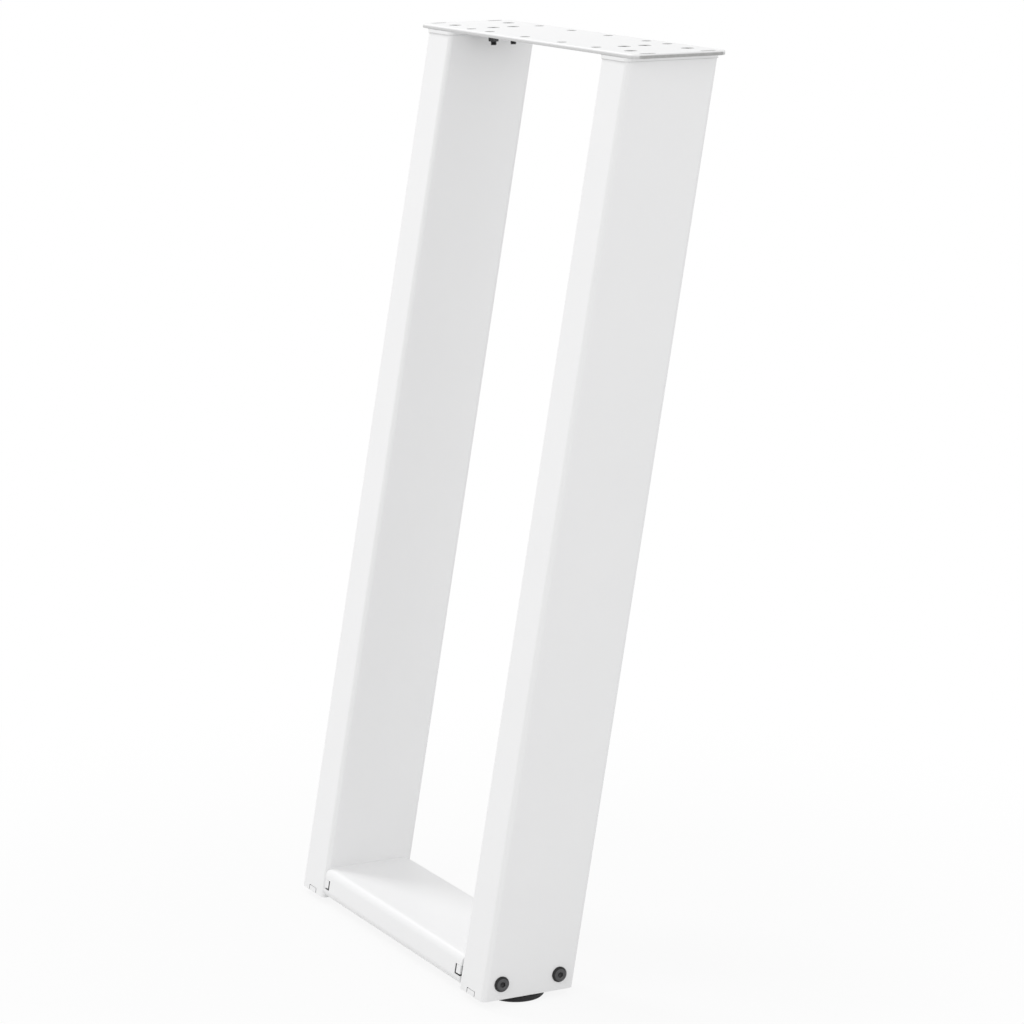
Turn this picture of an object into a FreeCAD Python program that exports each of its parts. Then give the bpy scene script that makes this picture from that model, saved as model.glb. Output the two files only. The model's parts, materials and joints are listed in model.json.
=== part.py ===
import FreeCAD, Part
import os
import re
import Sketcher

V = FreeCAD.Vector

# A U-shaped table leg: a drilled top plate, two leaning rectangular uprights and a low
# crossbar, bolted together, with a levelling foot under each upright. The origin is the
# centre of the plate's upper face, +Z up, +X along the plate. The uprights' lower ends
# stand towards -Y of the plate. Sizes are millimetres and degrees.
SIZES = {
    "frame_height": 720,
    "frame_width": 340,
    "lean": 10,
    "tube_depth": 79,
    "tube_width": 42,
    "tube_wall": 1.5,
    "tube_corner": 4,
    "fit_gap": 0.3,
    "thread_gap": 0.05,
    "plate_overhang": 13,
    "plate_lip": 1,
    "plate_thick": 3.5,
    "plate_corner": 8,
    "plate_edge": 0.9,
    "wood_hole": 8.5,
    "wood_row_inset": 9.5,
    "wood_end_x": 106,
    "wood_far_x": 73,
    "wood_mid_x": 50,
    "wood_near_x": 11.5,
    "slot_inset": 6,
    "slot_row_inset": 14.5,
    "slot_width": 5,
    "slot_length": 14,
    "flange_thick": 3,
    "flange_lip": 0.8,
    "tongue_reach": 30,
    "tongue_width": 44,
    "tongue_corner": 6,
    "cap_screw_inset": 0.5,
    "cap_screw_side": 15,
    "tongue_screw_reach": 18,
    "tongue_screw_y": 9,
    "screw_diameter": 5,
    "screw_hole": 5.5,
    "screw_length": 14,
    "screw_head": 10.4,
    "screw_sunk": 0.2,
    "screw_socket": 3,
    "screw_socket_depth": 1.9,
    "sink_diameter": 11,
    "nut_flats": 8,
    "nut_height": 4.7,
    "bar_height": 25,
    "bar_wall": 2,
    "bar_corner": 5,
    "bar_notch_length": 9.5,
    "bar_notch_height": 8.2,
    "end_plate_thick": 6.5,
    "end_plate_recess": 0.8,
    "end_tab_gap_above": 0.2,
    "end_tab_gap_below": 1.4,
    "bolt_diameter": 6,
    "bolt_hole": 6.6,
    "bolt_length": 55,
    "bolt_side": 14.5,
    "bolt_head": 12.4,
    "bolt_flange": 1,
    "bolt_dome_top": 6.4,
    "bolt_dome_foot": 10.6,
    "bolt_head_height": 3.7,
    "bolt_socket": 4,
    "bolt_socket_depth": 2.2,
    "foot_plate_thick": 4,
    "foot_notch_width": 13.5,
    "foot_notch_height": 4.5,
    "foot_tab_gap": 0.75,
    "stud_diameter": 8,
    "stud_reach": 24,
    "stud_nut_flats": 13,
    "stud_nut_height": 6.5,
    "stud_head": 14,
    "stud_head_thick": 1.8,
    "pad_radius": 22,
    "pad_thick": 4.5,
    "pad_gap": 0.5,
    "pad_lip": 1.2,
}

doc = FreeCAD.newDocument("TableLeg")
sheet = doc.addObject("Spreadsheet::Sheet", "Sizes")
for row, (name, number) in enumerate(SIZES.items(), start=1):
    sheet.set(f"A{row}", name)
    sheet.set(f"B{row}", str(number))
    sheet.setAlias(f"B{row}", name)
doc.recompute()


def formula(text):
    """Put the sheet's name before each size that a formula uses."""
    return re.sub(r"[a-z_]+", lambda word: f"Sizes.{word[0]}" if word[0] in SIZES else word[0], text)


def value(text):
    """What a formula comes to with the sheet's present numbers."""
    return float(sheet.evalExpression(formula(text)))


# Places that several pieces share, as formulas.
UPRIGHT_X = "(frame_width - tube_width) / 2"
INNER_FACE_X = "(frame_width / 2 - tube_width)"
TOP_STACK = "(plate_thick + flange_thick)"
TUBE_HEIGHT = "(frame_height - plate_thick - flange_thick)"
BASE_Y = "(0 - (frame_height - plate_thick - flange_thick) * tan(lean))"
BASE_Z = "(0 - frame_height)"
PLATE_LENGTH = "(frame_width + 2 * plate_overhang)"
PLATE_DEPTH = "(tube_depth + 2 * plate_lip)"
SLOT_X = "(frame_width / 2 + plate_overhang - slot_inset)"
WOOD_Y = "(tube_depth / 2 + plate_lip - wood_row_inset)"
SLOT_Y = "(tube_depth / 2 + plate_lip - slot_row_inset)"
SCREW_PLACES = {
    "cap": ("((frame_width - tube_width) / 2 - cap_screw_inset)", "(tube_depth / 2 - cap_screw_side)"),
    "tongue": ("(frame_width / 2 - tube_width - tongue_screw_reach)", "tongue_screw_y"),
}
BOLT_Y = "(tube_depth / 2 - bolt_side)"
# A wall measured square to the leaning faces is thicker on a level cut.
BAR_WALL_Y = "(bar_wall / cos(lean))"
BAR_MIDDLE = "(bar_height / 2)"
PIECES = []


def piece(name, place, spin=None):
    """Start one named piece, with its origin bound to the sheet."""
    body = doc.addObject("PartDesign::Body", name)
    body.Label = name
    if spin:
        body.Placement = FreeCAD.Placement(V(), spin)
    for axis, text in zip("xyz", place):
        body.setExpression(f"Placement.Base.{axis}", formula(text))
    PIECES.append(body)
    return body


def sketch_on(body, plane, height="0"):
    """A sketch on one of the piece's own origin planes, raised along its normal."""
    sketch = body.newObject("Sketcher::SketchObject", f"{body.Name}_sketch")
    support = next(o for o in body.Origin.OriginFeatures if o.Role == plane)
    sketch.AttachmentSupport = [(support, "")]
    sketch.MapMode = "FlatFace"
    sketch.setExpression("AttachmentOffset.Base.z", formula(height))
    return sketch


def tie(sketch, kind, places, text):
    """Add a dimension that follows a formula."""
    index = sketch.addConstraint(Sketcher.Constraint(kind, *places, value(text)))
    sketch.setExpression(f"Constraints[{index}]", formula(text))


def arc_between(start, end, middle_height):
    """A counter-clockwise arc from start to end about a middle at a given height."""
    chord = end - start
    halfway = (start + end) * 0.5
    inward = V(-chord.y, chord.x, 0)
    middle = halfway + inward * ((middle_height - halfway.y) / inward.y)
    crown = middle - inward.normalize() * start.distanceToPoint(middle)
    return Part.Arc(start, crown, end)


def outline(sketch, points, arcs=None):
    """A closed outline through points given as formulas.

    arcs maps a side to the height of its arc's middle; the other sides are straight.
    """
    arcs = arcs or {}
    spots = [V(value(x), value(y), 0) for x, y in points]
    first = sketch.GeometryCount
    count = len(points)
    for side, start in enumerate(spots):
        end = spots[(side + 1) % count]
        if side in arcs:
            curve = arc_between(start, end, value(arcs[side]))
        else:
            curve = Part.LineSegment(start, end)
        sketch.addGeometry(curve)
    for side in range(count):
        here = first + side
        following = first + (side + 1) % count
        sketch.addConstraint(Sketcher.Constraint("Coincident", here, 2, following, 1))
        tie(sketch, "DistanceX", (-1, 1, here, 1), points[side][0])
        tie(sketch, "DistanceY", (-1, 1, here, 1), points[side][1])
    for side, middle_height in arcs.items():
        tie(sketch, "DistanceY", (-1, 1, first + side, 3), middle_height)


def rectangle(sketch, middle_x, middle_y, width, depth, slant="0"):
    """A rectangle about a middle; slant moves its upper side along X."""
    low = f"{middle_y} - ({depth}) / 2"
    high = f"{middle_y} + ({depth}) / 2"
    left = f"{middle_x} - ({width}) / 2"
    right = f"{middle_x} + ({width}) / 2"
    shift = f"({slant}) / 2"
    corners = [
        (f"{left} - {shift}", low),
        (f"{right} - {shift}", low),
        (f"{right} + {shift}", high),
        (f"{left} + {shift}", high),
    ]
    outline(sketch, corners)


def circle(sketch, middle_x, middle_y, diameter):
    index = sketch.addGeometry(
        Part.Circle(V(value(middle_x), value(middle_y), 0), V(0, 0, 1), value(diameter) / 2)
    )
    tie(sketch, "DistanceX", (-1, 1, index, 3), middle_x)
    tie(sketch, "DistanceY", (-1, 1, index, 3), middle_y)
    tie(sketch, "Diameter", (index,), diameter)


def hexagon(sketch, middle_x, middle_y, flats):
    reach = f"({flats}) / sqrt(3)"
    corners = [
        (f"{middle_x} + {reach} * cos({turn})", f"{middle_y} + {reach} * sin({turn})")
        for turn in range(30, 390, 60)
    ]
    outline(sketch, corners)


def pad(body, sketch, length, leaning=False, both_ways=False):
    feature = body.newObject("PartDesign::Pad", f"{body.Name}_pad")
    feature.Profile = sketch
    feature.setExpression("Length", formula(length))
    if leaning:
        feature.UseCustomVector = True
        feature.Direction = V(0, 0, 1)
        feature.setExpression("Direction.y", formula("tan(lean)"))
        feature.AlongSketchNormal = True
    if both_ways:
        feature.SideType = "Symmetric"
    return feature


def pocket(body, sketch, depth=None, reverse=False):
    """Cut a sketch to a depth, or right through both ways, and check that it cut."""
    doc.recompute()
    before = body.Shape.Volume
    feature = body.newObject("PartDesign::Pocket", f"{body.Name}_pocket")
    feature.Profile = sketch
    if depth:
        feature.setExpression("Length", formula(depth))
        feature.Reversed = reverse
    else:
        feature.Type = "ThroughAll"
        feature.SideType = "Symmetric"
    doc.recompute()
    if body.Shape.Volume >= before:
        raise ValueError(f"{body.Label}: a pocket cut nothing")
    return feature


def round_edges(body, radius, chosen):
    """Round the edges of the piece's last feature that a test picks out."""
    doc.recompute()
    base = body.Tip
    edges = [f"Edge{i}" for i, edge in enumerate(base.Shape.Edges, start=1) if chosen(edge)]
    feature = body.newObject("PartDesign::Fillet", f"{body.Name}_fillet")
    feature.Base = (base, edges)
    feature.setExpression("Radius", formula(radius))
    return feature


def ends(edge):
    return [vertex.Point for vertex in edge.Vertexes]


def upright_edge(edge):
    """Whether an edge climbs from one end of a plate or tube to the other."""
    points = ends(edge)
    return len(points) == 2 and abs(points[0].z - points[1].z) > 0.5 * abs(edge.Length)


def at_width(half_width):
    """A test for climbing edges that stand at a distance either side of the middle."""
    reach = value(half_width)
    return lambda edge: upright_edge(edge) and all(abs(abs(p.x) - reach) < 0.01 for p in ends(edge))


def turned(body, points, arcs=None):
    """Turn a half outline, drawn from the axis outwards, about the piece's Z axis."""
    sketch = sketch_on(body, "XZ_Plane")
    outline(sketch, points, arcs)
    feature = body.newObject("PartDesign::Revolution", f"{body.Name}_turned")
    feature.Profile = sketch
    feature.ReferenceAxis = (sketch, ["V_Axis"])
    feature.Angle = 360
    return feature


def tube_outline(sketch, wall):
    """The uprights' level section, or the outline at a depth inside it."""
    wall_y = f"({wall}) / cos(lean)"
    rectangle(sketch, "0", "0", f"tube_width - 2 * ({wall})", f"tube_depth - 2 * {wall_y}")


def make_top_plate():
    body = piece("top_plate", ("0", "0", "0 - plate_thick"))
    base = sketch_on(body, "XY_Plane")
    rectangle(base, "0", "0", PLATE_LENGTH, PLATE_DEPTH)
    pad(body, base, "plate_thick")
    round_edges(body, "plate_corner", upright_edge)
    round_edges(body, "plate_edge", lambda edge: not upright_edge(edge))

    # The two rows of wood screw holes match when the plate is turned by half a turn.
    wood = sketch_on(body, "XY_Plane")
    along = ("0 - wood_end_x", "0 - wood_far_x", "0 - wood_near_x", "wood_mid_x", "wood_end_x")
    for x in along:
        circle(wood, x, f"0 - {WOOD_Y}", "wood_hole")
        circle(wood, f"0 - ({x})", WOOD_Y, "wood_hole")
    pocket(body, wood)

    slots = sketch_on(body, "XY_Plane")
    for side in ("", "0 - "):
        for row in ("", "0 - "):
            add_slot(slots, f"({side}{SLOT_X})", f"({row}{SLOT_Y})")
    pocket(body, slots)

    screws = sketch_on(body, "XY_Plane", "plate_thick")
    for side in ("", "0 - "):
        for row in ("", "0 - "):
            for x, y in SCREW_PLACES.values():
                circle(screws, f"{side}{x}", f"{row}{y}", "screw_hole")
    doc.recompute()
    holes = body.newObject("PartDesign::Hole", "top_plate_holes")
    holes.Profile = screws
    holes.DepthType = "ThroughAll"
    holes.setExpression("Diameter", formula("screw_hole"))
    holes.HoleCutType = "Countersink"
    holes.HoleCutCustomValues = True
    holes.setExpression("HoleCutDiameter", formula("sink_diameter"))
    holes.HoleCutCountersinkAngle = 90


def add_slot(sketch, middle_x, middle_y):
    """A round-ended slot along Y."""
    straight = "((slot_length - slot_width) / 2)"
    half = "slot_width / 2"
    corners = [
        (f"{middle_x} + {half}", f"{middle_y} - {straight}"),
        (f"{middle_x} + {half}", f"{middle_y} + {straight}"),
        (f"{middle_x} - {half}", f"{middle_y} + {straight}"),
        (f"{middle_x} - {half}", f"{middle_y} - {straight}"),
    ]
    outline(sketch, corners, {1: corners[1][1], 3: corners[3][1]})


def make_upright(name, side):
    """A leaning tube with level ends, notched for the foot plate's tabs."""
    body = piece(name, (f"{side} * {UPRIGHT_X}", BASE_Y, BASE_Z))
    section = sketch_on(body, "XY_Plane")
    tube_outline(section, "0")
    tube_outline(section, "tube_wall")
    pad(body, section, TUBE_HEIGHT, leaning=True)
    round_edges(body, "tube_corner", at_width("tube_width / 2"))
    round_edges(body, "tube_corner - tube_wall", at_width("tube_width / 2 - tube_wall"))

    notch = sketch_on(body, "XZ_Plane")
    rectangle(notch, "0", "foot_notch_height / 2", "foot_notch_width", "foot_notch_height")
    pocket(body, notch)

    holes = sketch_on(body, "YZ_Plane")
    for row in ("-1", "1"):
        circle(holes, f"{row} * {BOLT_Y} + {BAR_MIDDLE} * tan(lean)", BAR_MIDDLE, "bolt_hole")
    pocket(body, holes)


def make_top_flange(name, side):
    """The plate welded on an upright's upper end, with a tongue towards the middle."""
    body = piece(name, (f"{side} * {UPRIGHT_X}", "0", f"0 - {TOP_STACK}"))
    cap = sketch_on(body, "XY_Plane")
    rectangle(cap, "0", "0", "tube_width + 2 * flange_lip", "tube_depth + 2 * flange_lip")
    pad(body, cap, "flange_thick")
    round_edges(body, "tube_corner + flange_lip", upright_edge)

    tongue = sketch_on(body, "XY_Plane")
    root = "(tube_width / 2 - tube_corner)"
    tip = "(tube_width / 2 + tongue_reach)"
    rectangle(tongue, f"{-side} * ({root} + {tip}) / 2", "0", f"{tip} - {root}", "tongue_width")
    pad(body, tongue, "flange_thick")
    round_edges(body, "tongue_corner", at_width(tip))

    holes = sketch_on(body, "XY_Plane")
    for row in ("-1", "1"):
        for x, y in SCREW_PLACES.values():
            circle(holes, f"{side} * ({x} - {UPRIGHT_X})", f"{row} * {y}", "screw_hole")
    pocket(body, holes)


def make_crossbar():
    """A leaning rectangular tube between the uprights, flush with their faces."""
    body = piece("crossbar", ("0", BASE_Y, BASE_Z))
    section = sketch_on(body, "YZ_Plane")
    middle_y = f"{BAR_MIDDLE} * tan(lean)"
    slant = "bar_height * tan(lean)"
    rectangle(section, middle_y, BAR_MIDDLE, "tube_depth", "bar_height", slant)
    inner_depth = f"tube_depth - 2 * {BAR_WALL_Y}"
    inner_height = "(bar_height - 2 * bar_wall)"
    inner_slant = f"{inner_height} * tan(lean)"
    rectangle(section, middle_y, BAR_MIDDLE, inner_depth, inner_height, inner_slant)
    pad(body, section, f"2 * {INNER_FACE_X}", both_ways=True)
    reach = value(INNER_FACE_X)
    height = value("bar_height")

    def runs_along(edge, outer):
        points = ends(edge)
        spans = all(abs(abs(p.x) - reach) < 0.01 for p in points) and edge.Length > reach
        return spans and (min(points[0].z, height - points[0].z) < 0.01) == outer

    round_edges(body, "bar_corner", lambda edge: runs_along(edge, True))
    round_edges(body, "bar_corner - bar_wall", lambda edge: runs_along(edge, False))

    notches = sketch_on(body, "XZ_Plane")
    for side in ("-1", "1"):
        middle_x = f"{side} * ({INNER_FACE_X} - bar_notch_length / 2)"
        rectangle(notches, middle_x, BAR_MIDDLE, "bar_notch_length", "bar_notch_height")
    pocket(body, notches)


def make_crossbar_end_plate(name, side):
    """The tapped plate inside a crossbar's end, with a tab through each notch."""
    middle = f"{side} * ({INNER_FACE_X} - end_plate_recess - end_plate_thick / 2)"
    body = piece(name, (middle, BASE_Y, BASE_Z))
    middle_y = f"{BAR_MIDDLE} * tan(lean)"
    core = sketch_on(body, "YZ_Plane")
    core_depth = f"tube_depth - 2 * ({BAR_WALL_Y} + fit_gap)"
    core_height = "(bar_height - 2 * bar_wall)"
    rectangle(core, middle_y, BAR_MIDDLE, core_depth, core_height, f"{core_height} * tan(lean)")
    pad(body, core, "end_plate_thick", both_ways=True)
    round_edges(body, "bar_corner - bar_wall", lambda edge: abs(ends(edge)[0].x - ends(edge)[-1].x) > 1)

    tabs = sketch_on(body, "YZ_Plane")
    tab_height = "(bar_notch_height - end_tab_gap_above - end_tab_gap_below)"
    tab_middle = f"({BAR_MIDDLE} + (end_tab_gap_below - end_tab_gap_above) / 2)"
    tab_y = f"{tab_middle} * tan(lean)"
    rectangle(tabs, tab_y, tab_middle, "tube_depth", tab_height, f"{tab_height} * tan(lean)")
    pad(body, tabs, "end_plate_thick", both_ways=True)

    holes = sketch_on(body, "YZ_Plane")
    for row in ("-1", "1"):
        tapped = "bolt_diameter + 2 * thread_gap"
        circle(holes, f"{row} * {BOLT_Y} + {middle_y}", BAR_MIDDLE, tapped)
    pocket(body, holes)


def make_crossbar_bolt(name, side, row):
    """A flanged button-head bolt; its seat is the upright's outer face."""
    spin = FreeCAD.Rotation(V(0, 1, 0), 90 * side)
    place_y = f"{BASE_Y} + {BAR_MIDDLE} * tan(lean) + {row} * {BOLT_Y}"
    body = piece(name, (f"{side} * frame_width / 2", place_y, f"{BASE_Z} + {BAR_MIDDLE}"), spin)
    top = "bolt_head_height"
    profile = [
        ("0", "0 - bolt_length"),
        ("bolt_diameter / 2", "0 - bolt_length"),
        ("bolt_diameter / 2", "0"),
        ("bolt_head / 2", "0"),
        ("bolt_head / 2", "bolt_flange"),
        ("bolt_dome_foot / 2", "bolt_flange"),
        ("bolt_dome_top / 2", top),
        ("0", top),
    ]
    turned(body, profile, {5: "0"})
    socket = sketch_on(body, "XY_Plane", top)
    hexagon(socket, "0", "0", "bolt_socket")
    pocket(body, socket, "bolt_socket_depth")


def make_sunk_screw(name, middle_x, middle_y):
    """A countersunk screw; its head lies just below the plate's upper face."""
    body = piece(name, (middle_x, middle_y, "0 - screw_sunk"))
    profile = [
        ("0", "0 - screw_length"),
        ("screw_diameter / 2", "0 - screw_length"),
        ("screw_diameter / 2", "0 - (screw_head - screw_diameter) / 2"),
        ("screw_head / 2", "0"),
        ("0", "0"),
    ]
    turned(body, profile)
    socket = sketch_on(body, "XY_Plane")
    hexagon(socket, "0", "0", "screw_socket")
    pocket(body, socket, "screw_socket_depth")


def make_nut(name, place, flats, height, bore):
    """A hexagon nut with its corners turned off at both faces."""
    body = piece(name, place)
    hexagonal = sketch_on(body, "XY_Plane")
    hexagon(hexagonal, "0", "0", flats)
    circle(hexagonal, "0", "0", bore)
    pad(body, hexagonal, height)
    corner = f"({flats}) / sqrt(3)"
    past = f"({corner} + fit_gap)"
    edge_at_past = f"(({corner} + fit_gap) - ({flats}) / 2) * tan(30)"
    profile = sketch_on(body, "XZ_Plane")
    outline(profile, [(f"({flats}) / 2", "0"), (past, "0"), (past, edge_at_past)])
    upper = [(f"({flats}) / 2", height), (past, f"{height} - {edge_at_past}"), (past, height)]
    outline(profile, upper)
    doc.recompute()
    before = body.Shape.Volume
    feature = body.newObject("PartDesign::Groove", f"{name}_corners")
    feature.Profile = profile
    feature.ReferenceAxis = (profile, ["V_Axis"])
    feature.Angle = 360
    doc.recompute()
    if body.Shape.Volume >= before:
        raise ValueError(f"{name}: its corners were not turned off")


def make_foot_plate(name, side):
    """The plate inside an upright's lower end, with a tab in each notch."""
    body = piece(name, (f"{side} * {UPRIGHT_X}", BASE_Y, BASE_Z))
    core = sketch_on(body, "XY_Plane")
    tube_outline(core, "tube_wall + fit_gap")
    pad(body, core, "foot_plate_thick", leaning=True)
    round_edges(body, "tube_corner - tube_wall", upright_edge)
    tabs = sketch_on(body, "XY_Plane")
    rectangle(tabs, "0", "0", "foot_notch_width - 2 * foot_tab_gap", "tube_depth")
    pad(body, tabs, "foot_plate_thick", leaning=True)
    bore = sketch_on(body, "XY_Plane")
    circle(bore, "0", "0", "stud_diameter + 2 * thread_gap")
    pocket(body, bore)


def make_foot_stud(name, side):
    """The threaded stud of a levelling foot; its head lies in the pad's recess."""
    body = piece(name, (f"{side} * {UPRIGHT_X}", BASE_Y, f"{BASE_Z} - pad_gap"))
    profile = [
        ("0", "0 - stud_head_thick"),
        ("stud_head / 2", "0 - stud_head_thick"),
        ("stud_head / 2", "0"),
        ("stud_diameter / 2", "0"),
        ("stud_diameter / 2", "stud_reach"),
        ("0", "stud_reach"),
    ]
    turned(body, profile)


def make_foot_pad(name, side):
    """The moulded pad under an upright, with a recess for the stud's head."""
    body = piece(name, (f"{side} * {UPRIGHT_X}", BASE_Y, f"{BASE_Z} - pad_gap - pad_thick"))
    recess = "(stud_head / 2 + thread_gap)"
    profile = [
        ("0", "0"),
        ("pad_radius - pad_lip", "0"),
        ("pad_radius", "pad_lip"),
        ("pad_radius", "pad_thick - pad_lip / 2"),
        ("pad_radius - pad_lip / 2", "pad_thick"),
        (recess, "pad_thick"),
        (recess, "pad_thick - stud_head_thick"),
        ("0", "pad_thick - stud_head_thick"),
    ]
    turned(body, profile)


SIDES = (("left", -1), ("right", 1))
ROWS = (("front", -1), ("back", 1))

make_top_plate()
make_crossbar()
for hand, side in SIDES:
    make_upright(f"{hand}_upright", side)
    make_top_flange(f"{hand}_top_flange", side)
    make_crossbar_end_plate(f"{hand}_crossbar_end_plate", side)
    make_foot_plate(f"{hand}_foot_plate", side)
    make_foot_stud(f"{hand}_foot_stud", side)
    make_foot_pad(f"{hand}_foot_pad", side)
    nut_place = (f"{side} * {UPRIGHT_X}", BASE_Y, f"{BASE_Z} + foot_plate_thick")
    stud_bore = "stud_diameter + 2 * thread_gap"
    make_nut(f"{hand}_foot_nut", nut_place, "stud_nut_flats", "stud_nut_height", stud_bore)
    for end, row in ROWS:
        make_crossbar_bolt(f"{hand}_{end}_crossbar_bolt", side, row)
        for use in ("cap", "tongue"):
            place_x, place_y = (f"{way} * {far}" for way, far in zip((side, row), SCREW_PLACES[use]))
            make_sunk_screw(f"{hand}_{end}_{use}_screw", place_x, place_y)
            nut_place = (place_x, place_y, f"0 - {TOP_STACK} - nut_height")
            screw_bore = "screw_diameter + 2 * thread_gap"
            make_nut(f"{hand}_{end}_{use}_nut", nut_place, "nut_flats", "nut_height", screw_bore)

doc.recompute()
for thing in doc.Objects:
    if "Invalid" in thing.State or "Error" in thing.State:
        raise ValueError(f"{thing.Label} failed: {thing.State}")
for body in PIECES:
    if body.Shape.isNull() or not body.Shape.isValid():
        raise ValueError(f"{body.Label} has no valid shape")

os.makedirs("parts", exist_ok=True)
for body in PIECES:
    body.Shape.exportStep(f"parts/{body.Label}.step")
print(f"{len(PIECES)} pieces written")
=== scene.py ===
# %% [markdown]
# # A leaning U-shaped table leg
# The real thing is a bolted steel frame with a white powder coat: a drilled plate that
# screws to a table top, two flat rectangular uprights that lean under it, a low crossbar,
# and a black levelling foot under each upright. The solids of all these pieces come from
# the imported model. This lesson gives them their finishes, rounds the crossbar, cuts real
# threads, turns the bolt heads, and lights the leg as in a pale studio.

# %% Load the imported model
import json
import math

import bmesh
import bpy
from mathutils import Matrix, Vector


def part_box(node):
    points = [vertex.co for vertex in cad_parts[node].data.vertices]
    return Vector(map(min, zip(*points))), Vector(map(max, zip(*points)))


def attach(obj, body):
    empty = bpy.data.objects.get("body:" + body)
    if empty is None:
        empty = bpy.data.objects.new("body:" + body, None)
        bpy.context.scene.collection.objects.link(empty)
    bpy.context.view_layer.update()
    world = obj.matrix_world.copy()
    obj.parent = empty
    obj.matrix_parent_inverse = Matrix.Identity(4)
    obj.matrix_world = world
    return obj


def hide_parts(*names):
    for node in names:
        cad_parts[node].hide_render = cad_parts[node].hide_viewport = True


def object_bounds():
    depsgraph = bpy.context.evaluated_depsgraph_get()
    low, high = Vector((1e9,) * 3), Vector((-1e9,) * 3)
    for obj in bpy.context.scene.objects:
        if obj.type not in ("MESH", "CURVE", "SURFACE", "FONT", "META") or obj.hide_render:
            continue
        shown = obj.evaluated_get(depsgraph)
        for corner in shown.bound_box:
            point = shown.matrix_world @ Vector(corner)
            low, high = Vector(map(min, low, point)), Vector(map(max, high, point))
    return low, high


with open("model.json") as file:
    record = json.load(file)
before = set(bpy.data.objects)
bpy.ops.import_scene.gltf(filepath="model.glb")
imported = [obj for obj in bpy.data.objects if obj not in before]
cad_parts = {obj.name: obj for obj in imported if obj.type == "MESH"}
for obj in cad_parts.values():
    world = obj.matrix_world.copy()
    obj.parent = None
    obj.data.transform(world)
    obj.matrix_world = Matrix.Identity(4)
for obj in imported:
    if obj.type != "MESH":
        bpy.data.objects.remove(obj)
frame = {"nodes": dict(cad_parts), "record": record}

MM = 0.001
nodes = frame["nodes"]
cad_low, cad_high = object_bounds()
floor_height = cad_low.z
print("solids:", len(nodes), "box in mm:", [round(v / MM) for v in cad_high - cad_low])

# %% [markdown]
# ## The camera
# The leg was photographed with a long lens from its right-hand side and a little above
# the plate. A camera object is placed here: its place is a point in the leg's own
# frame, and its aim is three turns, read like a tripod head. Working the turns out one by
# one is easier to adjust than a tracking constraint, and leaves nothing live in the scene.

# %% Place the camera
LENS = 129.8
SENSOR = 36.0
CAMERA_PLACE = Vector((2.5816, -1.3697, 0.2273))
PAN_LEFT = 62.936
TILT_DOWN = 11.789
ROLL = -0.297


def turned(degrees, axis):
    return Matrix.Rotation(math.radians(degrees), 4, axis)


camera_data = bpy.data.cameras.new("studio_camera")
camera_data.lens = LENS
camera_data.sensor_width = SENSOR
camera = bpy.data.objects.new("studio_camera", camera_data)
bpy.context.scene.collection.objects.link(camera)
aim = turned(PAN_LEFT, "Z") @ turned(90 - TILT_DOWN, "X") @ turned(ROLL, "Z")
camera.matrix_world = Matrix.Translation(CAMERA_PLACE) @ aim
bpy.context.scene.camera = camera
print("camera stands", round(CAMERA_PLACE.length, 2), "m from the plate's middle")

# %% [markdown]
# ## A small language for shaders
# A finish is mostly arithmetic on noise. Wrapping a socket in a class whose operators add
# Math nodes lets the arithmetic be written as ordinary expressions, which is far easier
# to read than a list of nodes and links. `Board.node` makes every kind of node.


# %% Wrap sockets in arithmetic
class Wave:
    """A node's output, which can be added, subtracted and multiplied like a number."""

    def __init__(self, board, socket):
        self.board = board
        self.socket = socket

    def _maths(self, operation, left, right=None):
        inputs = {0: left} if right is None else {0: left, 1: right}
        return self.board.node("ShaderNodeMath", {"operation": operation}, inputs)

    def __add__(self, other):
        return self._maths("ADD", self, other)

    def __radd__(self, other):
        return self._maths("ADD", other, self)

    def __sub__(self, other):
        return self._maths("SUBTRACT", self, other)

    def __rsub__(self, other):
        return self._maths("SUBTRACT", other, self)

    def __mul__(self, other):
        return self._maths("MULTIPLY", self, other)

    def __rmul__(self, other):
        return self._maths("MULTIPLY", other, self)

    def size(self):
        return self._maths("ABSOLUTE", self)

    def root(self):
        return self._maths("SQRT", self)

    def at_least(self, floor):
        return self._maths("MAXIMUM", self, floor)

    def smooth_between(self, low, high):
        """0 below low, 1 above high and a soft ramp between them."""
        settings = {"interpolation_type": "SMOOTHSTEP"}
        inputs = {"Value": self, "From Min": low, "From Max": high}
        return self.board.node("ShaderNodeMapRange", settings, inputs)


print("outputs can be added and multiplied")


# %% Make every node in one method
class Board:
    """A node tree in which one method makes every node."""

    def __init__(self, tree):
        self.tree = tree

    def plug(self, socket, given):
        """Link a wave, or set a plain value."""
        if isinstance(given, Wave):
            self.tree.links.new(given.socket, socket)
        else:
            socket.default_value = given

    def node(self, kind, settings, inputs, output=0):
        """Any node: its settings first, then its sockets' values or links."""
        made = self.tree.nodes.new(kind)
        for name, setting in settings.items():
            setattr(made, name, setting)
        for name, given in inputs.items():
            self.plug(made.inputs[name], given)
        return Wave(self, made.outputs[output])


print("a board can make any node")


# %% Hold one finish
COLOUR_A = 6
COLOUR_B = 7
COLOUR_RESULT = 2


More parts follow.
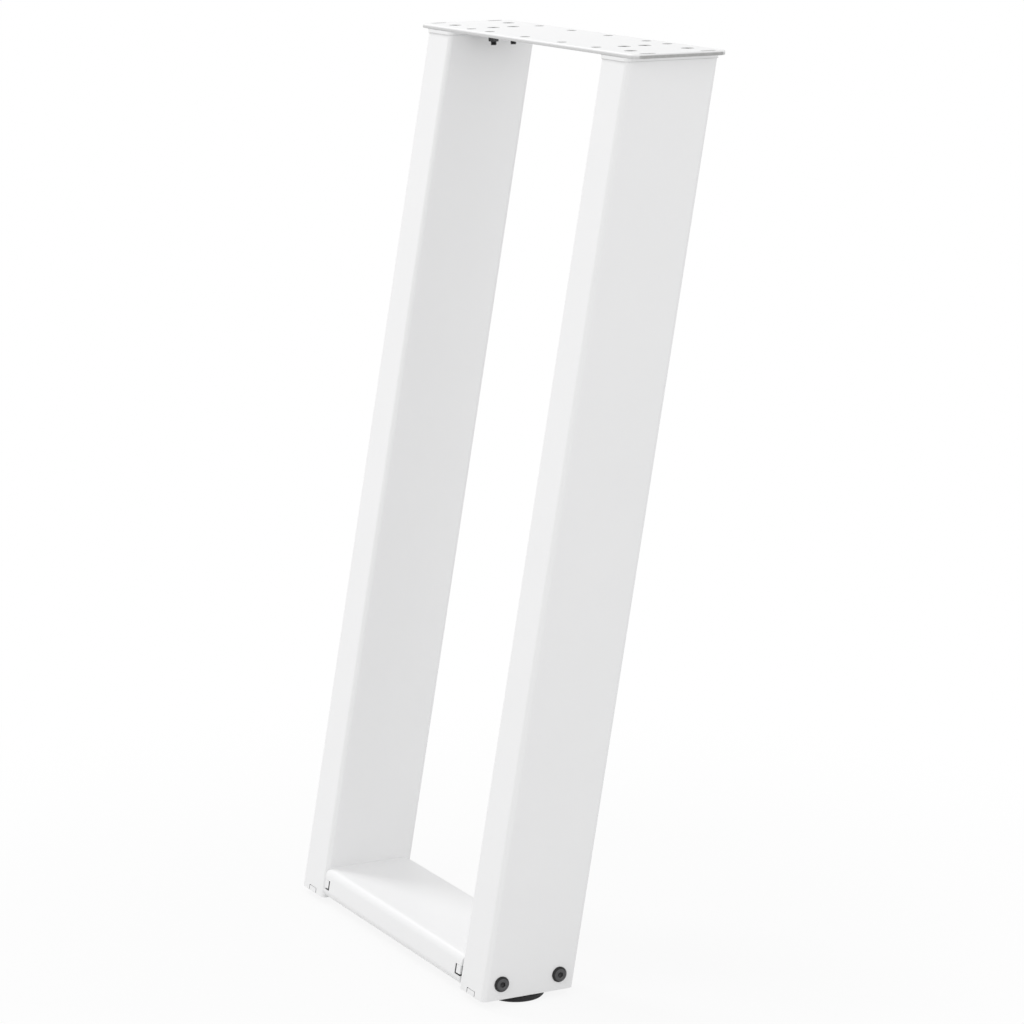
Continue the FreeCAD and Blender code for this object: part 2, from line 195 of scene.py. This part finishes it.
class Finish(Board):
    """One material, with its Principled shader ready to be set."""

    def __init__(self, name):
        self.material = bpy.data.materials.new(name)
        self.material.use_nodes = True
        super().__init__(self.material.node_tree)
        self.shader = self.tree.nodes["Principled BSDF"]
        self.place = self.node("ShaderNodeTexCoord", {}, {}, "Object")

    def axis(self, letter):
        """The point's X, Y or Z in the leg's own frame."""
        return self.node("ShaderNodeSeparateXYZ", {}, {"Vector": self.place}, letter)

    def noise(self, grain, detail=2.0, roughness=0.5):
        """Noise whose lumps are about grain metres across."""
        inputs = {"Vector": self.place, "Scale": 1 / grain}
        inputs.update({"Detail": detail, "Roughness": roughness})
        return self.node("ShaderNodeTexNoise", {}, inputs)

    def blend(self, factor, dark, light):
        """A colour between two others. The colour sockets follow those for other kinds."""
        inputs = {0: factor}
        for socket, colour in ((COLOUR_A, dark), (COLOUR_B, light)):
            inputs[socket] = colour if isinstance(colour, Wave) else (*colour, 1)
        return self.node("ShaderNodeMix", {"data_type": "RGBA"}, inputs, COLOUR_RESULT)

    def relief(self, height, distance):
        """Raise the surface by height times distance metres, in the shading only."""
        bump = self.node("ShaderNodeBump", {}, {"Height": height, "Distance": distance})
        self.plug(self.shader.inputs["Normal"], bump)

    def set(self, **values):
        """Set or drive Principled sockets; an underscore stands for a space."""
        for name, given in values.items():
            self.plug(self.shader.inputs[name.replace("_", " ")], given)


print("a finish can be noisy, blended and embossed")

# %% [markdown]
# ## White powder coat
# Powder coat is melted plastic dust: it flows into an even satin skin with a faint orange
# peel about a millimetre across, and a much finer grain in its gloss. A flat white would
# look like plaster. Noise in the bump gives the peel, noise in the roughness breaks up
# the long reflections along the tubes, and the colour itself hardly changes.
#
# The charged dust doesn't reach inside the tubes, where the steel is left dark. Elsewhere
# the mask paints shade: grey on the plate's lower rim, in its holes and below the flanges,
# and raw-steel dark on the walls of the slits round the tabs. So the finish takes a mask, a
# number from 0 to 1 that says how bare or shaded each point is, and fades to grey or to raw
# steel.


# %% Make the powder coat
COAT_SHADES = ((0.825, 0.825, 0.829), (0.860, 0.861, 0.864))
# Grey of the painted shade on the plate's rim and holes and below the flanges.
PAINTED_SHADE_GREY = (0.33, 0.33, 0.325)
RAW_STEEL = (0.090, 0.088, 0.086)


def powder_coat(name, bare_or_shade_mask, bare_or_shade_colour, bare_metal):
    """White coat that gives way to a bare or painted-shade colour where the mask nears 1."""
    coat = Finish(name)
    peel = coat.noise(1.4 * MM, detail=1.5)
    grain = coat.noise(0.35 * MM, detail=2.0)
    drift = coat.noise(60 * MM, detail=3.0)
    painted = coat.blend(drift * 0.7 + grain * 0.3, *COAT_SHADES)
    # The mask holds both bare steel inside the tubes and painted shade.
    bare_or_shade = bare_or_shade_mask(coat)
    coat.set(
        Base_Color=coat.blend(bare_or_shade, painted, bare_or_shade_colour),
        Roughness=0.30 + drift * 0.10 + grain * 0.08 + bare_or_shade * 0.15,
        Metallic=bare_or_shade * bare_metal,
        IOR=1.5,
    )
    coat.relief(peel * 0.7 + grain * 0.3, 0.02 * MM)
    return coat.material


print("coat shades:", COAT_SHADES)

# %% [markdown]
# ## Where the tubes are bare, and the painted shade in their slits
# The masks of the tubes ask how deep a point lies under a tube's skin. Both uprights and
# the crossbar lean with the same slope, so Y is measured from their leaning middle plane,
# and the depth is that of a rounded rectangle. A shallow depth picks the walls of the
# slits round the welded tabs, which are painted dark as painted shade to give their dark
# lines, and a depth near the wall's thickness picks the bare inside.

# %% Mask the tubes
LEAN_DEGREES = 10
LEAN = math.tan(math.radians(LEAN_DEGREES))
TUBE_TOP = -6.5 * MM
TUBE_FOOT = floor_height + 5 * MM
TUBE_HALF_DEPTH = 39.5 * MM
UPRIGHT_MIDDLE = 149 * MM
UPRIGHT_HALF_WIDTH = 21 * MM
UPRIGHT_CORNER = 4 * MM
BAR_HALF_HEIGHT = 12.5 * MM
BAR_MASK_CORNER = 9 * MM
SLIT_FROM = 5.8 * MM
SLIT_TO = 7.0 * MM
BAR_SLITS_END = 127.1 * MM


def depth_under_skin(across, half_across, along, half_along, corner):
    """Depth under a rounded rectangular skin, from two distances to its middle."""
    past_across = (across.size() - (half_across - corner)).at_least(0.0)
    past_along = (along.size() - (half_along - corner)).at_least(0.0)
    return corner - (past_across * past_across + past_along * past_along).root()


def leaning_y(finish):
    """Y measured from the tubes' leaning middle plane."""
    return finish.axis("Y") - (finish.axis("Z") - TUBE_TOP) * LEAN


def upright_bare_and_slit_shade(finish):
    """Bare inside the tube, with painted shade on the walls of the two slits beside the foot
    plate's tab.

    The slits lie between SLIT_FROM and SLIT_TO from the tube's middle, on its narrow faces.
    """
    from_middle = finish.axis("X").size() - UPRIGHT_MIDDLE
    depth = depth_under_skin(
        from_middle, UPRIGHT_HALF_WIDTH, leaning_y(finish), TUBE_HALF_DEPTH, UPRIGHT_CORNER
    )
    beside_tab = from_middle.size().smooth_between(SLIT_FROM, SLIT_FROM + 0.15 * MM)
    near_tab = (SLIT_TO - from_middle.size()).smooth_between(0.0, 0.1 * MM)
    # Painted shade: the slit walls are painted raw-steel dark for their dark lines.
    slits = depth.smooth_between(0.05 * MM, 0.25 * MM) * beside_tab * near_tab
    inside = depth.smooth_between(1.1 * MM, 1.4 * MM)
    above_base = finish.axis("Z").smooth_between(TUBE_FOOT + 0.2 * MM, TUBE_FOOT + 0.8 * MM)
    return slits.at_least(inside) * above_base


def crossbar_bare_and_slit_shade(finish):
    """Bare inside the bar, with painted shade round the end plate's tab, but not on its outer
    face.

    The mask's corner is wider than the bar's, so that the bar's rounded edges stay coated.
    """
    from_middle = finish.axis("Z") - (TUBE_FOOT + BAR_HALF_HEIGHT)
    depth = depth_under_skin(
        from_middle, BAR_HALF_HEIGHT, leaning_y(finish), TUBE_HALF_DEPTH, BAR_MASK_CORNER
    )
    within_end = (BAR_SLITS_END - finish.axis("X").size()).smooth_between(0.0, 0.3 * MM)
    # Painted shade: the slit walls round the end plate's tab are painted raw-steel dark.
    slits = depth.smooth_between(0.3 * MM, 0.6 * MM) * within_end
    return slits.at_least(depth.smooth_between(1.5 * MM, 1.9 * MM))


# Both tube coats carry painted shade in their slits, and bare steel inside.
tube_white = powder_coat("white_powder_coat", upright_bare_and_slit_shade, RAW_STEEL, 0.8)
bar_white = powder_coat("white_coat_crossbar", crossbar_bare_and_slit_shade, RAW_STEEL, 0.8)
print("made", tube_white.name, "and", bar_white.name)

# %% [markdown]
# ## Painted shade on the plate and the flanges
# The plate's mask paints shade on the lower part of its rim, which is darkest at the two
# ends, and on the walls of the holes and slots, all in patches. The flanges get painted
# shade only in the joint below them, as a thin line.


# %% Mask the plate and the flanges
PLATE_THICKNESS = 3.5 * MM
PLATE_HALF_LENGTH = 183 * MM
PLATE_HALF_WIDTH = 40.5 * MM
PLATE_CORNER = 8 * MM


def uneven(finish, least):
    """Patchy strength a few millimetres across, from least up to least plus 0.3."""
    return finish.noise(3 * MM, detail=3.0) * 0.3 + least


def plate_painted_shade(finish):
    """Painted shade on the lower part of the rim and in the holes, but not on the underside."""
    x, y, z = (finish.axis(letter) for letter in "XYZ")
    above_underside = z.smooth_between(-PLATE_THICKNESS, 0.3 * MM - PLATE_THICKNESS)
    at_end = x.size().smooth_between(
        PLATE_HALF_LENGTH - 1.2 * MM, PLATE_HALF_LENGTH - 0.3 * MM
    )
    # Painted shade: the lower part of the rim goes grey, higher and darker towards the ends.
    low_rim = (at_end * 0.4 * MM - z).smooth_between(0.9 * MM, 1.8 * MM)
    rim = low_rim * (at_end * 0.45 + 0.55)
    depth = depth_under_skin(x, PLATE_HALF_LENGTH, y, PLATE_HALF_WIDTH, PLATE_CORNER)
    # Painted shade on the walls of the holes and slots.
    in_hole = depth.smooth_between(0.8 * MM, 1.2 * MM)
    hole = (0.0 - z).smooth_between(0.05 * MM, 0.35 * MM) * in_hole
    return rim.at_least(hole) * above_underside * uneven(finish, 0.75)


def flange_painted_shade(finish):
    """Coated all over, with a thin patchy line of painted shade in the joint below the flange."""
    # Painted shade: a thin grey line in the joint below the flange.
    joint = (TUBE_TOP + 0.5 * MM - finish.axis("Z")).smooth_between(0.0, 0.4 * MM)
    return joint * uneven(finish, 0.45)


plate_white = powder_coat("white_coat_plate_painted_shade", plate_painted_shade, PAINTED_SHADE_GREY, 0.0)
flange_white = powder_coat("white_coat_flange_painted_shade", flange_painted_shade, PAINTED_SHADE_GREY, 0.0)
print("made", plate_white.name, "and", flange_white.name)

# %% [markdown]
# ## Black fasteners
# The bolts, screws and nuts are blackened steel: almost black, a little metallic, with a
# satin gloss that picks up the white room on every rounded edge. Fine noise in the
# roughness stands for the oxide's dusty look. Handling rubs the steel paler in flecks on
# the screws and nuts. The flat face of each bolt head is painted paler all over as a painted
# sheen, which leaves the bevel round it and the socket in it dark as painted shade.


# %% Make the blackened steel
BOLT_SEAT = 170 * MM
BOLT_FACE = 2.2 * MM
SCREW_SHADES = ((0.045, 0.045, 0.047), (0.100, 0.100, 0.103))
BOLT_DARK_AND_SHEEN = ((0.024, 0.024, 0.025), (0.098, 0.098, 0.101))


def black_oxide(name, wear_or_sheen, dark, pale):
    """Blackened steel that is paler where the given mask nears 1: flecks of wear, or a painted
    sheen.
    """
    oxide = Finish(name)
    dust = oxide.noise(0.5 * MM, detail=4.0, roughness=0.6)
    oxide.set(
        Base_Color=oxide.blend(wear_or_sheen(oxide), dark, pale),
        Metallic=0.5,
        Roughness=0.22 + dust * 0.16,
        Specular_IOR_Level=0.35,
    )
    oxide.relief(dust, 0.01 * MM)
    return oxide.material


def flecks(finish):
    return finish.noise(2.0 * MM, detail=5.0, roughness=0.7).smooth_between(0.50, 0.70)


def head_face_sheen(finish):
    """Painted sheen: 0.75 to 1 on the flat face of a bolt head, and 0 behind it."""
    # The paler face is a painted sheen, and its flecks are wear.
    outside = BOLT_SEAT + BOLT_FACE
    face = finish.axis("X").size().smooth_between(outside - 0.25 * MM, outside - 0.05 * MM)
    return face * (flecks(finish) * 0.25 + 0.75)


screw_black = black_oxide("black_steel", flecks, *SCREW_SHADES)
bolt_black = black_oxide("black_steel_bolt_painted_sheen", head_face_sheen, *BOLT_DARK_AND_SHEEN)
print("made", screw_black.name, "and", bolt_black.name)

# %% [markdown]
# ## Moulded foot pads
# The pads are hard black plastic from a spark-eroded mould, so they have a fine even
# texture and little gloss. Small cells from a Voronoi texture give that skin.


# %% Make the pad plastic
PAD_SHADES = ((0.012, 0.012, 0.013), (0.020, 0.020, 0.021))


def moulded_black():
    plastic = Finish("black_plastic")
    inputs = {"Vector": plastic.place, "Scale": 1 / (0.6 * MM)}
    cells = plastic.node("ShaderNodeTexVoronoi", {"feature": "SMOOTH_F1"}, inputs)
    plastic.set(
        Base_Color=plastic.blend(plastic.noise(8 * MM, detail=3.0), *PAD_SHADES),
        Roughness=0.48 + cells * 0.15,
        Specular_IOR_Level=0.25,
    )
    plastic.relief(cells, 0.03 * MM)
    return plastic.material


pad_black = moulded_black()
print("made", pad_black.name)

# %% [markdown]
# ## Give every solid its finish
# The imported record names a material slot for each node, so the finishes are handed out
# by slot and no solid can be forgotten. The white pieces whose painted shade or bare insides
# need a mask of their own are named one by one.

# %% Hand out the finishes
FINISHES = {
    "white_powder_coat": tube_white, "black_steel": screw_black, "black_plastic": pad_black,
}
OWN_FINISHES = {"top_plate": plate_white, "crossbar": bar_white}
for hand in ("left", "right"):
    OWN_FINISHES[f"{hand}_top_flange"] = flange_white
    OWN_FINISHES[f"{hand}_crossbar_end_plate"] = bar_white
slot_of = {part["node"]: part["material_slot"] for part in frame["record"]["subparts"]}
for name, solid in nodes.items():
    solid.data.materials.clear()
    solid.data.materials.append(OWN_FINISHES.get(name, FINISHES[slot_of[name]]))
print({slot: list(slot_of.values()).count(slot) for slot in FINISHES})

# %% [markdown]
# ## A rounder crossbar
# The real bar's long edges are rounder than the solid's. An arc that touches two lines
# only changes its size when it is scaled about the point where the lines meet. So each
# edge's points are picked by their distance to the arc's middle and scaled about the
# sharp corner. Each point then still faces the way it did, so the solid's own shading
# normals stay right: they ride through the bmesh in a layer of its face corners, while
# its loose triangles are merged, and are put back at the end.


# %% Round the crossbar's edges
SOLID_EDGE = 5 * MM
REAL_EDGE = 7 * MM
MERGE = 0.001 * MM
ON_ARC = 0.03 * MM
NEAR_CORNER = 7 * MM
body_of = {
    node: body for body, group in frame["record"]["behaviour"]["bodies"].items() for node in group
}


def place_piece(node, data, material):
    """Make mesh data an object that stands for a solid and rides where it rides."""
    data.name = node + "_detailed"
    data.materials.clear()
    data.materials.append(material)
    piece = bpy.data.objects.new(node + "_detailed", data)
    bpy.context.scene.collection.objects.link(piece)
    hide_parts(node)
    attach(piece, body_of[node])
    return piece


def round_edges(mesh, low, high):
    """Scale the arcs at the bar's four sharp corners, seen along X, and count the points."""
    grow = REAL_EDGE / SOLID_EDGE
    moved = 0
    for side in (-1, 1):
        for height, up in ((low, -1), (high, 1)):
            y = side * TUBE_HALF_DEPTH + (height - TUBE_TOP) * LEAN
            corner = Vector((0, y, height))
            inwards = side * SOLID_EDGE / math.cos(math.radians(LEAN_DEGREES))
            arc_middle = corner - Vector((0, inwards, 0)) - Vector((0, LEAN, 1)) * up * SOLID_EDGE
            arc = [
                point for point in mesh.verts
                if abs((point.co.yz - arc_middle.yz).length - SOLID_EDGE) < ON_ARC
                and (point.co.yz - corner.yz).length < NEAR_CORNER
            ]
            about = Matrix.Translation(-corner)
            bmesh.ops.scale(mesh, vec=(1, grow, grow), space=about, verts=arc)
            moved += len(arc)
    return moved


def rounder_bar():
    solid = nodes["crossbar"].data
    mesh = bmesh.new()
    mesh.from_mesh(solid)
    kept_normal = mesh.loops.layers.float_vector.new("kept_normal")
    for face in mesh.faces:
        for loop in face.loops:
            loop[kept_normal] = solid.corner_normals[loop.index].vector
    bmesh.ops.remove_doubles(mesh, verts=mesh.verts[:], dist=MERGE)
    low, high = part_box("crossbar")
    print("moved", round_edges(mesh, low.z, high.z), "points on the crossbar's edges")
    data = bpy.data.meshes.new("crossbar")
    mesh.to_mesh(data)
    mesh.free()
    normals = [tuple(corner.vector) for corner in data.attributes["kept_normal"].data]
    data.normals_split_custom_set(normals)
    data.attributes.remove(data.attributes["kept_normal"])
    return place_piece("crossbar", data, bar_white)


print("made", rounder_bar().name)

# %% [markdown]
# ## Real threads
# The solids model each screw and stud as a plain shaft. A thread is one zigzag line that
# turns about the shaft while it climbs by one pitch: `bmesh.ops.spin` does exactly that
# when it is given a `dvec`. The line's end then falls on its own start, one tooth higher,
# so merging doubles closes the skin, and two flat cuts trim the ends.

# %% Turn a threaded shaft
TURN_STEPS = 28
THREAD_DEPTH = 0.6
ON_PLANE = 1e-7
TOOTH = ((0.0, 1), (0.1, 1), (0.45, 0), (0.6, 0))


def cut_level(mesh, height, keep_below):
    """Cut a bmesh level at a height and drop one side of it; the cut stays open."""
    bmesh.ops.bisect_plane(
        mesh, geom=mesh.verts[:] + mesh.edges[:] + mesh.faces[:], dist=ON_PLANE,
        plane_co=(0, 0, height), plane_no=(0, 0, 1 if keep_below else -1), clear_outer=True,
    )


def close_rims(mesh):
    rims = [edge for edge in mesh.edges if edge.is_boundary]
    bmesh.ops.holes_fill(mesh, edges=rims, sides=0)


def threaded_shaft(mesh, middle, low, high, radius, pitch):
    """Add a closed threaded shaft along Z to a bmesh.

    A tooth is given in pitches: how far up, and which part of the thread's depth inwards.
    """
    made = bmesh.new()
    chain = []
    for tooth in range(math.ceil((high - low) / pitch) + 3):
        foot = low - 2 * pitch + tooth * pitch
        for rise, share in TOOTH:
            out = radius - THREAD_DEPTH * pitch * share
            chain.append(made.verts.new((out, 0, foot + rise * pitch)))
    for start, end in zip(chain, chain[1:]):
        made.edges.new((start, end))
    bmesh.ops.spin(
        made, geom=made.verts[:] + made.edges[:], cent=(0, 0, 0), axis=(0, 0, 1),
        dvec=(0, 0, pitch / TURN_STEPS), angle=2 * math.pi, steps=TURN_STEPS, use_merge=False,
    )
    bmesh.ops.remove_doubles(made, verts=made.verts[:], dist=0.01 * pitch)
    cut_level(made, low, keep_below=False)
    cut_level(made, high, keep_below=True)
    close_rims(made)
    bmesh.ops.recalc_face_normals(made, faces=made.faces[:])
    bmesh.ops.translate(made, verts=made.verts[:], vec=(middle.x, middle.y, 0))
    shaft = bpy.data.meshes.new("shaft")
    made.to_mesh(shaft)
    made.free()
    mesh.from_mesh(shaft)
    bpy.data.meshes.remove(shaft)


print("one turn of thread has", TURN_STEPS * len(TOOTH), "faces")

# %% [markdown]
# ## Threads on the screws and studs
# Only the plain shaft is wrong on these solids, so the head of each screw, and the round
# foot of each stud, is a copy of the solid's own. The copy's triangles are merged, its
# shaft is cut off level, and a threaded shaft takes the place that is left.

# %% Give the screws and studs their threads
SHARP_DEGREES = 28
SCREW_RADIUS = 2.48 * MM
SCREW_PITCH = 0.8 * MM
SCREW_HEAD = 3.7 * MM
STUD_RADIUS = 3.98 * MM
STUD_PITCH = 1.25 * MM
STUD_FOOT = 1.9 * MM


def keep_piece(node, mesh, material):
    """Turn a finished bmesh into a smooth black piece."""
    data = bpy.data.meshes.new(node)
    mesh.to_mesh(data)
    mesh.free()
    data.shade_smooth()
    data.set_sharp_from_angle(angle=math.radians(SHARP_DEGREES))
    return place_piece(node, data, material)


def with_thread(node, thread_low, thread_high, radius, pitch, tip_up):
    """Replace a solid by its own head with a threaded shaft in place of the plain one."""
    low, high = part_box(node)
    mesh = bmesh.new()
    mesh.from_mesh(nodes[node].data)
    bmesh.ops.remove_doubles(mesh, verts=mesh.verts[:], dist=MERGE)
    cut_level(mesh, thread_low if tip_up else thread_high, keep_below=tip_up)
    close_rims(mesh)
    threaded_shaft(mesh, (low + high) / 2, thread_low, thread_high, radius, pitch)
    return keep_piece(node, mesh, screw_black)


def threaded_screw(node):
    low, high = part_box(node)
    return with_thread(node, low.z, high.z - SCREW_HEAD, SCREW_RADIUS, SCREW_PITCH, tip_up=False)


def threaded_stud(node):
    low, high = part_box(node)
    return with_thread(node, low.z + STUD_FOOT, high.z, STUD_RADIUS, STUD_PITCH, tip_up=True)


threaded = []
for hand in ("left", "right"):
    for end in ("front", "back"):
        for use in ("cap", "tongue"):
            threaded.append(threaded_screw(f"{hand}_{end}_{use}_screw"))
    threaded.append(threaded_stud(f"{hand}_foot_stud"))
print("threaded pieces:", len(threaded), "faces:", sum(len(p.data.polygons) for p in threaded))

# %% [markdown]
# ## Low bolt heads
# Two bolts a side hold the crossbar, and their heads are the only dark things on the wide
# faces, so the eye goes there. The head starts as a hexagon for the socket's mouth, cut
# into 48 short sides. Each following ring is the last one extruded and pushed out to a
# radius and height: the countersunk mouth, the flat face, the bevel round it and the thin
# rounded rim, then the shaft down to where its thread starts. Going the other way from
# the same hexagon gives the socket's walls and its drilled cone.

# %% Turn the bolts
BOLT_RADIUS = 2.98 * MM
BOLT_PITCH = 1.0 * MM
BOLT_TIP = -55 * MM
BOLT_THREAD_TOP = -31 * MM
MOUTH_HEIGHT = 2.0 * MM
MOUTH_CUTS = 7
SOCKET_CORNER = 2.31 * MM
SOCKET_TURN = 30
SOCKET_DEPTH = 1.2 * MM
HEAD_RINGS = (
    (2.55, BOLT_FACE / MM), (4.35, BOLT_FACE / MM), (4.56, 2.15), (4.74, 2.02),
    (5.78, 1.02), (5.98, 0.88), (6.13, 0.70), (6.20, 0.50), (6.20, 0.16), (6.08, 0.00),
    (3.05, 0.00), (2.95, -0.40), (2.95, BOLT_THREAD_TOP / MM),
)
SOCKET_RINGS = ((1.90, 0.75), (0.30, 0.20))


def extrude_rim(mesh, rim):
    """Extrude a rim of edges on the spot, and give back its new points and edges."""
    made = bmesh.ops.extrude_edge_only(mesh, edges=rim)["geom"]
    points = {part for part in made if isinstance(part, bmesh.types.BMVert)}
    edges = [part for part in made if isinstance(part, bmesh.types.BMEdge)]
    return points, [edge for edge in edges if points.issuperset(edge.verts)]


def grow_rings(mesh, rim, rings):
    """Extrude a rim through round rings of a radius and a height in mm, and close the last."""
    for radius, height in rings:
        points, rim = extrude_rim(mesh, rim)
        for point in points:
            spoke = point.co.xy.normalized() * (radius * MM)
            point.co = (spoke.x, spoke.y, height * MM)
    bmesh.ops.holes_fill(mesh, edges=rim, sides=0)


def flanged_bolt(node, side):
    mesh = bmesh.new()
    bmesh.ops.create_circle(mesh, segments=6, radius=SOCKET_CORNER)
    bmesh.ops.rotate(mesh, verts=mesh.verts[:], matrix=turned(SOCKET_TURN, "Z"))
    bmesh.ops.translate(mesh, verts=mesh.verts[:], vec=(0, 0, MOUTH_HEIGHT))
    bmesh.ops.subdivide_edges(mesh, edges=mesh.edges[:], cuts=MOUTH_CUTS)
    mouth = mesh.edges[:]
    grow_rings(mesh, mouth, HEAD_RINGS)
    points, walls_foot = extrude_rim(mesh, mouth)
    bmesh.ops.translate(mesh, verts=list(points), vec=(0, 0, -SOCKET_DEPTH))
    grow_rings(mesh, walls_foot, SOCKET_RINGS)
    threaded_shaft(mesh, Vector(), BOLT_TIP, BOLT_THREAD_TOP, BOLT_RADIUS, BOLT_PITCH)
    bmesh.ops.recalc_face_normals(mesh, faces=mesh.faces[:])
    low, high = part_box(node)
    middle = (low + high) / 2
    seat = Matrix.Translation((side * BOLT_SEAT, middle.y, middle.z))
    bmesh.ops.transform(mesh, verts=mesh.verts[:], matrix=seat @ turned(90 * side, "Y"))
    return keep_piece(node, mesh, bolt_black)


bolts = [
    flanged_bolt(f"{hand}_{end}_crossbar_bolt", side)
    for hand, side in (("left", -1), ("right", 1)) for end in ("front", "back")
]
print("bolts:", len(bolts), "faces in one:", len(bolts[0].data.polygons))

# %% [markdown]
# ## The studio
# The leg stands in a white sweep, so light comes from everywhere and the shading is
# gentle: the faces towards the camera's left are the brightest, and the wide outer faces
# a step darker. A pale sky gives most of the light, and large soft panels add the rest.
# Seen by the camera, or mirrored in the leg's metal, the sky itself is plain white.


# %% Light the studio
WHITE = (1, 1, 1, 1)
SKY = 0.78
PANELS = (
    ("key_panel", (-2.16, -0.73, 1.9), (0.9, 0.9), 32),
    ("front_panel", (0.4, -3.0, 1.2), (2.2, 1.6), 19),
    ("side_panel", (2.7, 0.8, 0.0), (2.4, 1.4), 11.5),
)


def seen(board):
    """1 for rays from the camera and for mirrored or refracted ones, 0 for the rest."""
    rays = ("Is Camera Ray", "Is Glossy Ray", "Is Transmission Ray")
    direct, mirrored, refracted = (board.node("ShaderNodeLightPath", {}, {}, r) for r in rays)
    return direct.at_least(mirrored).at_least(refracted)


def glow_world(strength):
    world = bpy.data.worlds.new("studio")
    bpy.context.scene.world = world
    world.use_nodes = True
    board = Board(world.node_tree)
    light = world.node_tree.nodes["Background"]
    board.plug(light.inputs["Color"], WHITE)
    board.plug(light.inputs["Strength"], strength)
    white_sky = board.node("ShaderNodeBackground", {}, {"Color": WHITE, "Strength": 1.0})
    inputs = {0: seen(board), 1: Wave(board, light.outputs[0]), 2: white_sky}
    mixed = board.node("ShaderNodeMixShader", {}, inputs)
    board.plug(world.node_tree.nodes["World Output"].inputs["Surface"], mixed)


def soft_panel(name, place, size, power):
    """A rectangular lamp that looks at the leg's middle."""
    data = bpy.data.lights.new(name, "AREA")
    data.shape = "RECTANGLE"
    data.size, data.size_y = size
    data.energy = power
    panel = bpy.data.objects.new(name, data)
    bpy.context.scene.collection.objects.link(panel)
    aim = ((cad_low + cad_high) / 2 - Vector(place)).to_track_quat("-Z", "Y")
    panel.matrix_world = Matrix.Translation(place) @ aim.to_matrix().to_4x4()


glow_world(SKY)
for panel in PANELS:
    soft_panel(*panel)
print("sky", SKY, "and", len(PANELS), "soft panels")

# %% [markdown]
# ## The floor
# The floor shows itself as white to the camera and to reflections, but round the feet it
# mixes in a share of its real shading, so that their shadow stays. Its underside is
# clear, so the feet can also be looked at from below, and it lies a little under the
# pads, so that their undersides aren't lost in it.

# %% Lay the floor
FLOOR_REACH = 20.0
FLOOR_GAP = 0.2 * MM
FLOOR_COLOUR = (0.72, 0.72, 0.72, 1)
SHADOW_SHARE = 0.12
SHADOW_FADES = (0.15, 0.8)


def floor_paint(height):
    """White as the camera sees it, with part of the real shading kept near the feet."""
    paint = Finish("floor_white")
    paint.set(Base_Color=FLOOR_COLOUR, Roughness=0.9, Specular_IOR_Level=0.0)
    glow = paint.node("ShaderNodeEmission", {}, {"Color": WHITE, "Strength": 1.0})
    sideways = paint.axis("X")
    forwards = paint.axis("Y") - (height - TUBE_TOP) * LEAN
    from_feet = (sideways * sideways + forwards * forwards).root()
    plain = from_feet.smooth_between(*SHADOW_FADES) * SHADOW_SHARE + (1 - SHADOW_SHARE)
    shaded = Wave(paint, paint.shader.outputs[0])
    top = paint.node("ShaderNodeMixShader", {}, {0: seen(paint) * plain, 1: shaded, 2: glow})
    below = paint.node("ShaderNodeNewGeometry", {}, {}, "Backfacing")
    clear = paint.node("ShaderNodeBsdfTransparent", {}, {})
    one_way = paint.node("ShaderNodeMixShader", {}, {0: below, 1: top, 2: clear})
    paint.plug(paint.tree.nodes["Material Output"].inputs["Surface"], one_way)
    return paint.material


def lay_floor(height):
    made = bmesh.new()
    bmesh.ops.create_grid(made, x_segments=1, y_segments=1, size=FLOOR_REACH)
    bmesh.ops.translate(made, verts=made.verts[:], vec=(0, 0, height))
    data = bpy.data.meshes.new("floor")
    made.to_mesh(data)
    made.free()
    data.materials.append(floor_paint(height))
    floor = bpy.data.objects.new("floor", data)
    bpy.context.scene.collection.objects.link(floor)


lay_floor(floor_height - FLOOR_GAP)
print("floor under the pads at", round(floor_height / MM, 1), "mm")

# %% [markdown]
# ## Finish
# The view transform is set to Standard, so that the whites stay as they are written.

# %% Set the view transform
bpy.context.scene.view_settings.view_transform = "Standard"
